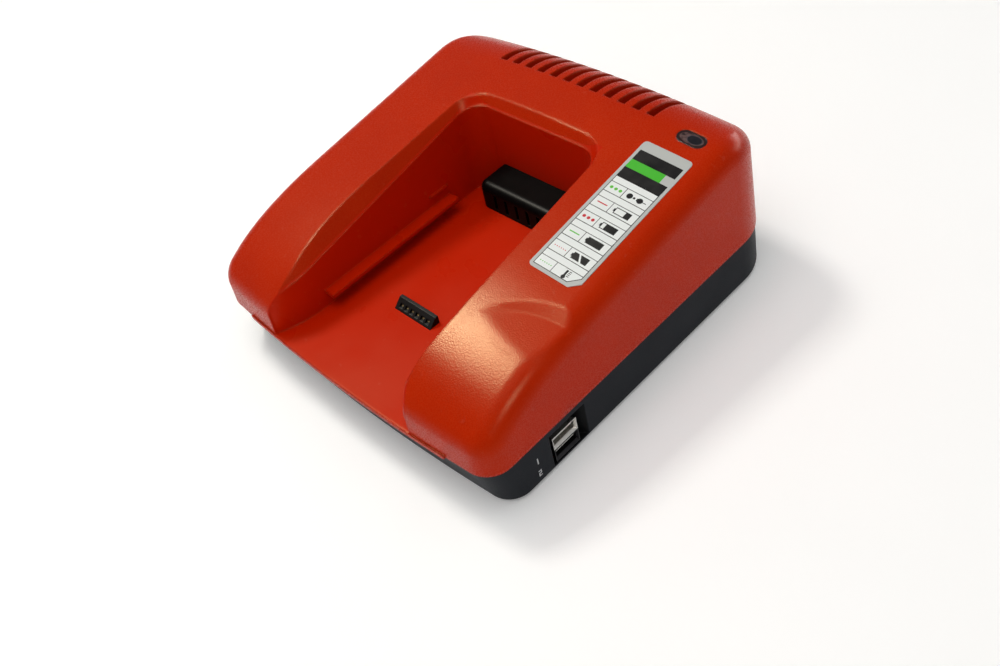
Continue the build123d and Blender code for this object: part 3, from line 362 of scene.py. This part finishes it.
def printedLabel(look):
    finish = Finish("statusLabel")
    across = finish.x - look["left"]
    down = look["rear"] - finish.y
    rowDown = down - look["rowStart"]
    inRow = rowDown % look["rowPitch"]
    rowIndex = finish.node("Math", {"operation": "FLOOR"}, [rowDown / look["rowPitch"], 0.0])
    left, right = look["sides"]
    cellLeft, cellRight = left + look["outline"], right - look["outline"]
    bandTop, bandBottom = look["bandRows"]
    greenTop, greenBottom = look["greenRows"]
    headTop, headBottom = look["headingRows"]
    cellTop, cellBottom = look["cellRows"]
    splitLeft, splitRight = look["split"]
    tableBottom, corner = look["tableBottom"], look["corner"]

    table = finish.box(across, down, (left, bandBottom), (right, tableBottom)) & ((across + down) < corner)
    heading = finish.box(across, inRow, (cellLeft, headTop), (cellRight, headBottom))
    leftCell = finish.box(across, inRow, (cellLeft, cellTop), (splitLeft, cellBottom))
    rightCell = finish.box(across, inRow, (splitRight, cellTop), (cellRight, cellBottom))
    field = finish.box(across, down, (cellLeft, look["rowStart"]), (cellRight, tableBottom - look["outline"]))
    field = field & ((across + down) < corner - look["cornerLine"])
    cells = (heading | leftCell | rightCell) & field
    bands = finish.box(across, down, (left, bandTop), (right, bandBottom))
    greenBand = finish.box(across, down, (left, greenTop), (look["greenRight"], greenBottom))
    greyCorner = finish.box(across, down, (look["greenRight"], greenTop), (right, greenBottom))

    inRow = inRow - look["markDrop"]
    middle = look["markMiddle"]

    def inRowNumber(number, mask):
        return mask & (abs(rowIndex - number) < 0.5)

    def dots(count, pitch, radius):
        first = look["dotMiddle"] - pitch * (count - 1) / 2
        spot = (across - first + pitch / 2) % pitch - pitch / 2
        up = inRow - middle
        reach = (across > first - pitch / 2) & (across < first + pitch * (count - 0.5))
        return ((spot * spot + up * up) < radius * radius) & reach

    barLeft, barRight, barHalf = look["bar"]
    bar = finish.box(across, inRow, (barLeft, middle - barHalf), (barRight, middle + barHalf))
    threeDots = dots(*look["threeDots"])
    smallDots = dots(*look["smallDots"])
    greenMarks = inRowNumber(0, threeDots) | inRowNumber(3, bar) | inRowNumber(5, smallDots)
    redMarks = inRowNumber(2, threeDots) | inRowNumber(1, bar) | inRowNumber(4, smallDots)

    def battery(blankTo):
        insideLeft, low, high = look["batteryInside"]
        outer = finish.box(across, inRow, *look["battery"]) | finish.box(across, inRow, *look["batteryNose"])
        return outer & (1 - finish.box(across, inRow, (insideLeft, low), (blankTo, high)))

    lowBattery, halfBattery, fullBattery = [battery(blankTo) for blankTo in look["batteryBlanks"]]
    plugParts = [finish.disc(across, inRow, (x, middle), radius) for x, radius in look["plugDiscs"]]
    plugParts += [finish.box(across, inRow, low, high) for low, high in look["plugBars"]]
    plug = plugParts[0]
    for shape in plugParts[1:]:
        plug = plug | shape
    crackMiddle, crackSlope, crackHalf = look["crack"]
    crack = abs((across - crackMiddle) - (inRow - middle) * crackSlope) < crackHalf
    bulbX, bulbHeight, bulbRadius = look["bulb"]
    bulb = finish.disc(across, inRow, (bulbX, bulbHeight), bulbRadius)
    bulb = bulb | finish.box(across, inRow, *look["stem"])
    tickStart = look["ticks"][0][1]
    ticks = finish.box(across, inRow, *look["ticks"])
    ticks = ticks & (((inRow - tickStart) % look["tickPitch"]) < look["tickWidth"])
    blackMarks = (
        inRowNumber(0, plug)
        | inRowNumber(1, lowBattery)
        | inRowNumber(2, halfBattery)
        | inRowNumber(3, fullBattery)
        | inRowNumber(4, fullBattery & (1 - crack))
        | inRowNumber(5, bulb | ticks)
    )
    tone = finish.mix(bands | table, look["silver"], look["ink"])
    tone = finish.mix(greenBand, tone, look["green"])
    tone = finish.mix(greyCorner, tone, look["silver"])
    tone = finish.mix(cells, tone, look["white"])
    tone = finish.mix(greenMarks, tone, look["dotGreen"])
    tone = finish.mix(redMarks, tone, look["red"])
    tone = finish.mix(blackMarks, tone, look["ink"])
    finish.shade({
        "Base Color": tone,
        "Roughness": finish.patches(4, 3, *look["roughness"]),
        "Specular IOR Level": look["specular"],
    })
    finish.relief(finish.noise(1.2, 3), 0.01, 0.12)
    return finish


windowLow, windowHigh = nodeBox("status_window")
windowSettings = {
    "middle": (windowLow + windowHigh) / 2,
    "half": (windowHigh - windowLow) / 2,
    "rim": 0.4,
    # painted shade: the dark rim stands for the shaded gap round the window
    "gapPaintedShade": colour(40, 14, 12),
    # smoked tint, with lighter pinkish mottling that is a painted reflection
    "glass": (colour(52, 34, 36), colour(128, 98, 94)),
    # painted shade: a dark oval with a lighter ring round it, for the unlit cavity behind the window
    "halo": colour(74, 66, 72),
    "paintedShadeOval": colour(17, 16, 26),
    "pupilShift": 1.5,
    "pupilHalf": (3.5, 2.35),
    "roughness": (0.12, 0.26),
}


def smokedWindow(look):
    finish = Finish("smokedWindow")
    across = finish.x - look["middle"].x
    along = finish.y - look["middle"].y

    def oval(shift, halfWidth, halfLength):  # 1 on its outline
        return finish.distance((across - shift) / halfWidth, along / halfLength)

    half = look["half"]
    # painted light: dark rim for the gap's shade, pinkish mottled glass for a reflection, dark oval for the
    # cavity's shade
    rim = finish.spread(oval(0.0, half.x - look["rim"], half.y - look["rim"]), 0.84, 0.92)
    paintedShadeOval = oval(look["pupilShift"], *look["pupilHalf"])
    haze = finish.noise(1.6, 3)
    glass = finish.mix(finish.spread(haze, 0.35, 0.7), *look["glass"])
    glass = finish.mix(finish.spread(paintedShadeOval, 1.0, 1.16), look["halo"], glass)
    glass = finish.mix(finish.spread(paintedShadeOval, 0.9, 1.0), look["paintedShadeOval"], glass)
    finish.shade({
        "Base Color": finish.mix(rim, glass, look["gapPaintedShade"]),
        "Roughness": finish.spread(haze, 0.3, 0.7, *look["roughness"]),
        "Transmission Weight": 0.15,
        "IOR": 1.49,
        "Specular IOR Level": 0.3,
    })
    finish.relief(haze, 0.03, 0.5)
    return finish


boardSettings = {
    "mask": (colour(12, 74, 36), colour(22, 98, 50)),
    "pad": colour(196, 190, 176),
    "padPitch": 5.0,
    "padRadius": 0.13,  # share of the pitch
    "roughness": (0.28, 0.42),
}


def circuitBoard(look):
    finish = Finish("circuitBoard")
    tracks = finish.node("TexWave", {"bands_direction": "DIAGONAL"}, {
        "Vector": finish.point, "Scale": 0.11, "Distortion": 6.0, "Detail": 1.0, "Detail Scale": 0.4,
    })
    line = finish.spread(tracks, 0.46, 0.54)
    pads = finish.cells(look["padPitch"], 0.35) < look["padRadius"]
    finish.shade({
        "Base Color": finish.mix(pads, finish.mix(line, *look["mask"]), look["pad"]),
        "Metallic": pads * 1.0,
        "Roughness": finish.patches(3, 3, *look["roughness"]),
    })
    finish.relief(line + pads, 0.03, 0.1)
    return finish


wireSettings = {
    "gap": colour(70, 28, 10),
    "copper": colour(196, 104, 44),
    "turnDepth": 0.25,
    "roughness": (0.22, 0.36),
}


def woundWire(look):
    finish = Finish("windingWire")
    turns = finish.node("TexWave", {"wave_profile": "SIN", "bands_direction": "Y"}, {
        "Vector": finish.point, "Scale": 0.55, "Distortion": 0.6,
    })
    finish.shade({
        "Base Color": finish.mix(finish.spread(turns, 0.1, 0.6), look["gap"], look["copper"]),
        "Metallic": 0.85,
        "Roughness": finish.patches(2, 2, *look["roughness"]),
    })
    finish.relief(turns, look["turnDepth"], 0.1)
    return finish


outputLow, outputHigh = nodeBox("output_capacitors")
sleeveSettings = {
    "sleeve": colour(22, 24, 40),
    "stripe": colour(168, 172, 178),
    "lid": colour(190, 192, 194),
    "stripePitch": 9.0,
    "stripeWidth": 1.4,
    "lidDepth": 0.3,
    "bulkTop": nodeBox("bulk_capacitor")[1].z,
    "outputTop": outputHigh.z,
    "outputMiddle": (outputLow.x + outputHigh.x) / 2,
    "outputReach": 5.2,
    "roughness": (0.22, 0.36),
}


def capacitorSleeve(look):
    finish = Finish("capacitorSleeve")
    stripe = ((finish.x * 0.5 + finish.y) % look["stripePitch"]) < look["stripeWidth"]
    onOutput = abs(finish.x - look["outputMiddle"]) < look["outputReach"]
    low = (finish.z > look["outputTop"] - look["lidDepth"]) & onOutput
    lid = (finish.z > look["bulkTop"] - look["lidDepth"]) | low
    body = finish.mix(stripe, look["sleeve"], look["stripe"])
    finish.shade({
        "Base Color": finish.mix(lid, body, look["lid"]),
        "Metallic": lid * 0.9,
        "Roughness": finish.patches(3, 2, *look["roughness"]),
    })
    finish.relief(finish.noise(1.4, 3), 0.03, 0.2)
    return finish


fuseLow, fuseHigh = nodeBox("fuse")
fuseSettings = {
    "ends": (fuseLow.y, fuseHigh.y),
    "capLength": 4.5,
    "glass": colour(226, 234, 232),
    "cap": colour(186, 186, 184),
    "roughness": (0.05, 0.18),
    "alpha": (0.45, 1.0),  # of the glass and of the caps
}


def fuseGlass(look):
    finish = Finish("fuseGlass")
    front, rear = look["ends"]
    caps = (finish.y < front + look["capLength"]) | (finish.y > rear - look["capLength"])
    finish.shade({
        "Base Color": finish.mix(caps, look["glass"], look["cap"]),
        "Metallic": caps * 1.0,
        "Roughness": finish.patches(1.5, 2, *look["roughness"]),
        "Alpha": finish.mixValue(caps, *look["alpha"]),
    })
    finish.relief(finish.noise(1.0, 2), 0.01, 0.1)
    return finish


print("materials")
plasticLooks = {
    "black_housing": {
        "colour": colour(19, 23, 30), "second": colour(16, 20, 27), "worn": colour(62, 64, 68), "wear": 0.25,
        "wearReach": 1.6,  # times the edge radius
        "roughness": (0.42, 0.56), "grainSize": 0.42, "grainDepth": 0.035, "edge": 0.6, "specular": 0.10,
        # painted shade: the USB recess is coloured near-black for the shade that falls inside it
        "recess": ((84.0, -62.6, 2.6), (90.4, -40.9, 21.5)), "recessPaintedShade": colour(7, 8, 10),
    },
    "black_gloss": {
        "colour": colour(9, 8, 8), "second": colour(6, 6, 6), "roughness": (0.28, 0.40),
        "grainSize": 1.4, "grainDepth": 0.01, "edge": 0.5, "specular": 0.03,
    },
    "black_satin": {
        "colour": colour(12, 12, 13), "second": colour(9, 9, 10), "roughness": (0.34, 0.46),
        "grainSize": 0.5, "grainDepth": 0.02, "edge": 0.3, "specular": 0.12,
    },
    "led_lens": {
        "colour": colour(190, 60, 48), "second": colour(206, 84, 66), "roughness": (0.18, 0.30),
        "grainSize": 0.8, "grainDepth": 0.01, "edge": 0.2, "coat": 0.3,
    },
    "wire_sleeve": {
        "colour": colour(150, 26, 22), "second": colour(132, 20, 18), "roughness": (0.42, 0.52),
        "grainSize": 0.6, "grainDepth": 0.01, "edge": 0.1,
    },
    "ferrite": {
        "colour": colour(52, 52, 54), "second": colour(40, 40, 42), "roughness": (0.62, 0.78),
        "grainSize": 0.35, "grainDepth": 0.05, "edge": 0.4,
    },
    "winding_tape": {
        "colour": colour(214, 176, 60), "second": colour(196, 156, 44), "roughness": (0.24, 0.36),
        "grainSize": 2.4, "grainDepth": 0.12, "edge": 0.4, "coat": 0.4,
    },
    "filter_case": {
        "colour": colour(206, 178, 70), "second": colour(196, 166, 60), "roughness": (0.26, 0.36),
        "grainSize": 1.0, "grainDepth": 0.01, "edge": 0.6,
    },
    "tongue_plastic": {
        "colour": colour(206, 204, 198), "second": colour(192, 190, 184), "roughness": (0.30, 0.42),
        "grainSize": 0.5, "grainDepth": 0.01, "edge": 0.15,
    },
    "white_print": {
        "colour": colour(206, 208, 210), "second": colour(176, 178, 180), "roughness": (0.45, 0.60),
        "grainSize": 0.3, "grainDepth": 0.01, "edge": 0.05, "cloudSize": 0.8,
    },
    "rubber": {
        "colour": colour(34, 34, 35), "second": colour(28, 28, 29), "roughness": (0.72, 0.86),
        "grainSize": 0.5, "grainDepth": 0.04, "edge": 0.5,
    },
    "plate_film": {
        "colour": colour(150, 152, 154), "second": colour(140, 142, 145), "roughness": (0.34, 0.46),
        "grainSize": 0.8, "grainDepth": 0.01, "edge": 0.1,
    },
}
metalLooks = {
    "contact_metal": {
        # painted shade: kept dark brown, far below bare brass, so the contacts read as the shaded slots they
        # sit in
        "colour": colour(74, 62, 44), "second": colour(56, 48, 34), "roughness": (0.34, 0.48),
        "streakSize": 0.5, "stretch": (0.15, 1.0, 1.0), "depth": 0.01,
    },
    "screw_steel": {
        "colour": colour(176, 176, 172), "second": colour(150, 150, 148), "roughness": (0.28, 0.44),
        "streakSize": 0.4, "stretch": (1.0, 1.0, 0.2), "depth": 0.02, "edge": 0.25,
    },
    "bright_metal": {
        "colour": colour(216, 215, 211), "second": colour(188, 187, 183), "roughness": (0.24, 0.42),
        "streakSize": 0.3, "stretch": (1.0, 0.1, 1.0), "depth": 0.02,
    },
    "dark_metal": {
        "colour": colour(54, 54, 56), "second": colour(44, 44, 46), "roughness": (0.32, 0.46),
        "streakSize": 0.35, "stretch": (1.0, 0.12, 1.0), "depth": 0.012,
    },
    "heat_sink": {
        "colour": colour(196, 197, 200), "second": colour(180, 182, 186), "roughness": (0.30, 0.46),
        "streakSize": 0.6, "stretch": (1.0, 1.0, 0.06), "depth": 0.03, "edge": 0.3,
    },
}
finishes = {slot: mouldedPlastic(slot, plasticDefaults | look) for slot, look in plasticLooks.items()}
finishes |= {slot: brushedMetal(slot, metalDefaults | look) for slot, look in metalLooks.items()}
finishes["red_housing"] = redPlastic(redSettings)
finishes["label"] = printedLabel(labelSettings)
finishes["smoked_window"] = smokedWindow(windowSettings)
finishes["circuit_board"] = circuitBoard(boardSettings)
finishes["winding_wire"] = woundWire(wireSettings)
finishes["capacitor_sleeve"] = capacitorSleeve(sleeveSettings)
finishes["fuse_glass"] = fuseGlass(fuseSettings)

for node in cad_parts.values():
    slotName = node.material_slots[0].material.name
    node.material_slots[0].material = finishes[slotName].material

print("feet")
footLow, footHigh = nodeBox("rubber_feet")
footSettings = {
    "low": footLow,
    "high": footHigh,
    "radius": 6.5,
    # radius and height of each corner of the tread, from its middle outwards
    "tread": (
        (0.0, 0.45), (3.1, 0.45), (3.3, 0.15), (3.6, 0.0), (4.3, 0.0), (4.55, 0.3), (4.85, 0.3),
        (5.1, 0.0), (5.75, 0.0), (6.2, 0.15), (6.42, 0.5), (6.5, 0.9),
    ),
    "steps": 72,
}


def rubberFeet(look):
    sheet = bmesh.new()
    low, high, radius = look["low"], look["high"], look["radius"]
    profile = look["tread"] + ((radius, high.z), (0.0, high.z))
    places = [(x, y) for x in (low.x + radius, high.x - radius) for y in (low.y + radius, high.y - radius)]
    for x, y in places:
        points = [sheet.verts.new(((x + out) * mm, y * mm, up * mm)) for out, up in profile]
        rims = [sheet.edges.new(pair) for pair in zip(points, points[1:])]
        bmesh.ops.spin(
            sheet, geom=points + rims, cent=(x * mm, y * mm, 0), axis=(0, 0, 1),
            angle=2 * math.pi, steps=look["steps"], use_merge=True,
        )
    bmesh.ops.remove_doubles(sheet, verts=sheet.verts, dist=0.00001)
    bmesh.ops.recalc_face_normals(sheet, faces=sheet.faces)
    mesh = bpy.data.meshes.new("footTreads")
    sheet.to_mesh(mesh)
    sheet.free()
    feet = bpy.data.objects.new("footTreads", mesh)
    bpy.context.collection.objects.link(feet)
    mesh.materials.append(finishes["rubber"].material)
    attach(feet, "root")
    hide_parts("rubber_feet")


rubberFeet(footSettings)


print("studio")
floorSettings = {
    "half": 4.0,  # metres
    "colour": colour(252, 252, 251),
    "second": colour(249, 249, 248),
    "roughness": 0.7,
    "specular": 0.2,
    "glow": 0.16,
}
aimHeight = 0.04  # metres, what every lamp points at
# distances and sizes in metres, power in watts, angles in degrees
lightSettings = {
    "key": {
        "azimuth": 178, "elevation": 60, "distance": 1.3, "size": (0.26, 0.26), "power": 5.7,
        "colour": (1.0, 0.96, 0.90), "shineOnly": False,
    },
    "glare": {
        "azimuth": -160, "elevation": 61, "distance": 1.3, "size": (0.30, 0.34), "power": 56.0,
        "colour": (1.0, 0.94, 0.80), "shineOnly": True,
    },
    "shoulder": {
        "azimuth": -18, "elevation": 37, "distance": 1.3, "size": (0.20, 0.05), "power": 7.0,
        "colour": (1.0, 0.90, 0.84), "shineOnly": True,
    },
    "back": {
        "azimuth": 80, "elevation": 13, "distance": 1.5, "size": (1.3, 0.34), "power": 12.0,
        "colour": (0.96, 0.97, 1.0), "shineOnly": True,
    },
    "top": {
        "azimuth": -70, "elevation": 78, "distance": 1.5, "size": (1.1, 1.1), "power": 8.0,
        "colour": (1.0, 1.0, 1.0), "shineOnly": False,
    },
}
worldSettings = {"colour": (1.0, 1.0, 1.0, 1.0), "strength": 0.33}


def softbox(name, look):
    lamp = bpy.data.lights.new(name, "AREA")
    lamp.energy = look["power"]
    lamp.color = look["colour"]
    lamp.shape = "RECTANGLE"
    lamp.size, lamp.size_y = look["size"]
    turn, rise = math.radians(look["azimuth"]), math.radians(look["elevation"])
    aim = Vector((math.cos(turn) * math.cos(rise), math.sin(turn) * math.cos(rise), math.sin(rise)))
    light = bpy.data.objects.new(name, lamp)
    light.visible_diffuse = not look["shineOnly"]
    light.visible_camera = False
    light.location = aim * look["distance"] + Vector((0, 0, aimHeight))
    light.rotation_euler = aim.to_track_quat("Z", "Y").to_euler()
    bpy.context.collection.objects.link(light)


def makeFloor(look):
    sheet = bmesh.new()
    bmesh.ops.create_grid(sheet, x_segments=1, y_segments=1, size=look["half"])
    mesh = bpy.data.meshes.new("studioFloor")
    sheet.to_mesh(mesh)
    sheet.free()
    floor = bpy.data.objects.new("studioFloor", mesh)
    bpy.context.collection.objects.link(floor)
    finish = Finish("studioFloor")
    tone = finish.mix(finish.noise(60, 2), look["colour"], look["second"])
    finish.shade({
        "Base Color": tone,
        "Roughness": look["roughness"],
        "Specular IOR Level": look["specular"],
        "Emission Color": tone,
        "Emission Strength": look["glow"],
    })
    mesh.materials.append(finish.material)


for name, look in lightSettings.items():
    softbox(name, look)
makeFloor(floorSettings)
world = bpy.data.worlds.new("studio")
world.use_nodes = True
world.node_tree.nodes["Background"].inputs["Color"].default_value = worldSettings["colour"]
world.node_tree.nodes["Background"].inputs["Strength"].default_value = worldSettings["strength"]
bpy.context.scene.world = world
bpy.context.scene.view_settings.view_transform = "Standard"
